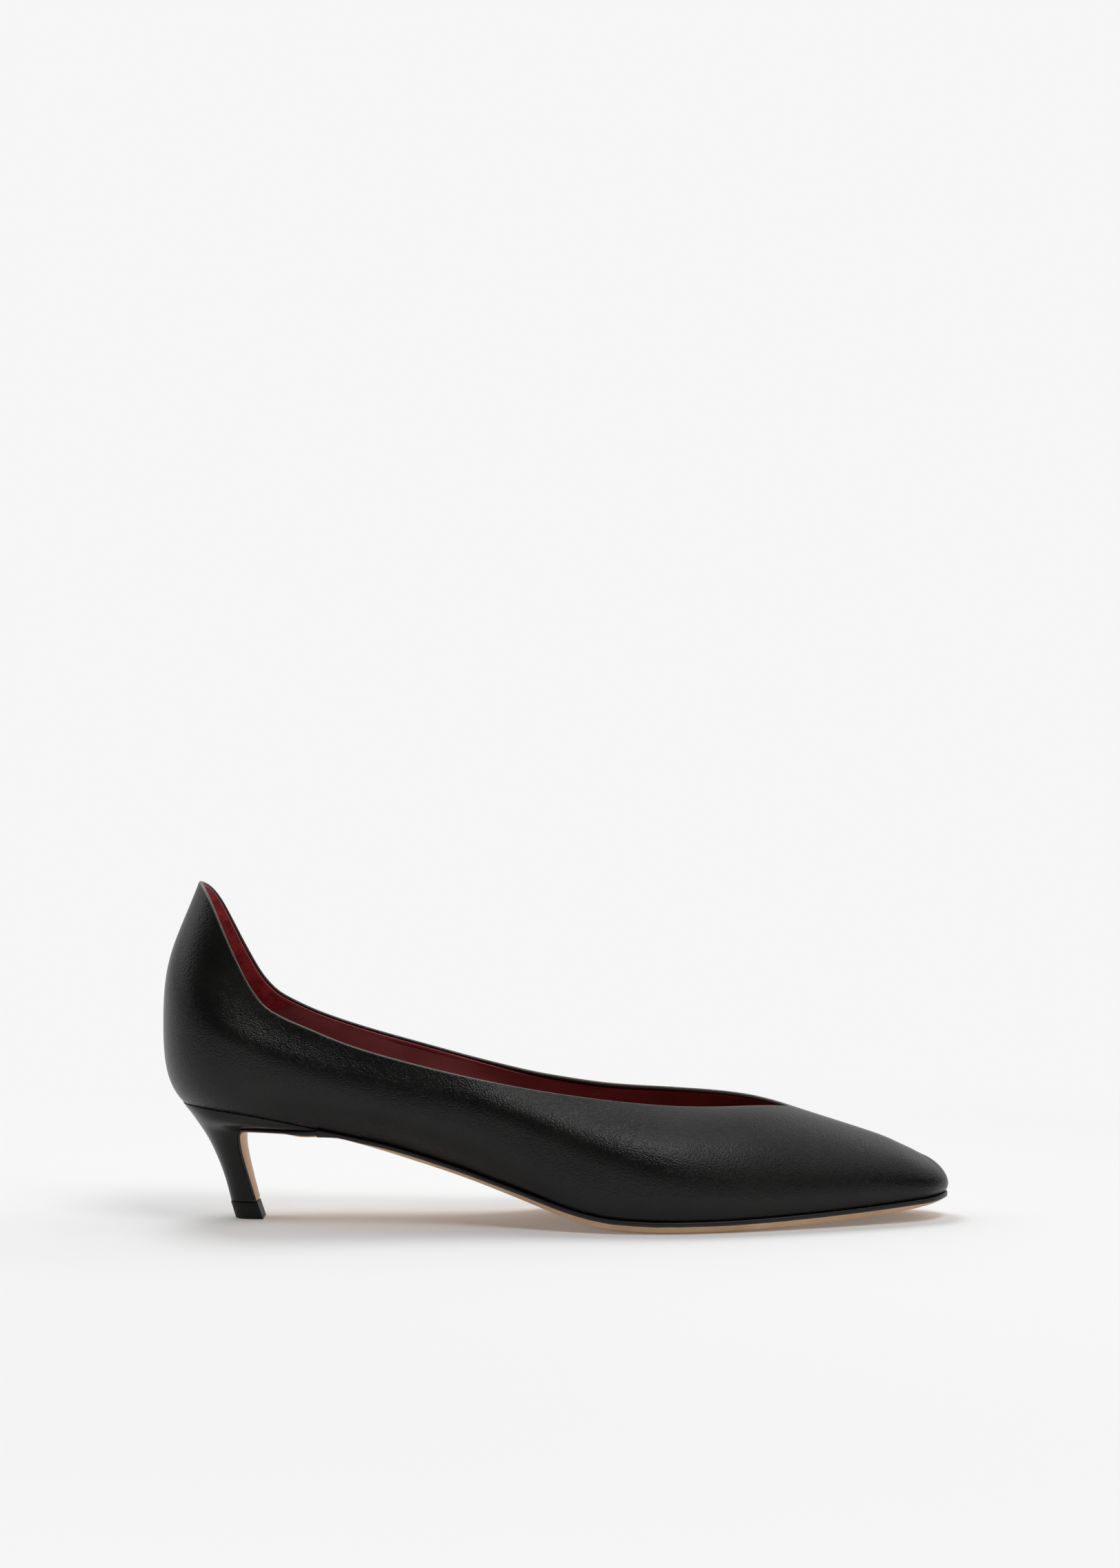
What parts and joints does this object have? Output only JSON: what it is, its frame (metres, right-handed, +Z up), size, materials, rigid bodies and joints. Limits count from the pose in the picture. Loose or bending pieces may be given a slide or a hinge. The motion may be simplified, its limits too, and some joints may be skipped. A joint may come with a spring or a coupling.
{
  "type": "almond toe pump",
  "caption": "Low-heeled slip-on pump with an almond toe, a V-shaped throat, a pointed high back and a slim curved covered heel.",
  "frame": {"origin": "on the floor under the middle of the shoe's bounding box", "axes": "+X towards the toe, +Y towards the inner side (big toe side), -Y towards the outer side, +Z up"},
  "size_m": [0.265, 0.0816, 0.1137],
  "materials": {
    "upper_leather": "black grained nappa, soft sheen",
    "lining_leather": "dark red smooth lining leather",
    "sole_leather": "natural tan sole leather with a dark painted edge",
    "heel_cover": "black grained nappa over a moulded block",
    "top_piece_rubber": "black, satin"
  },
  "bodies": {
    "root": {"upper": "upper_leather", "insole": "lining_leather", "outsole": "sole_leather", "heel": "heel_cover", "top_piece": "top_piece_rubber"}
  },
  "joints": []
}
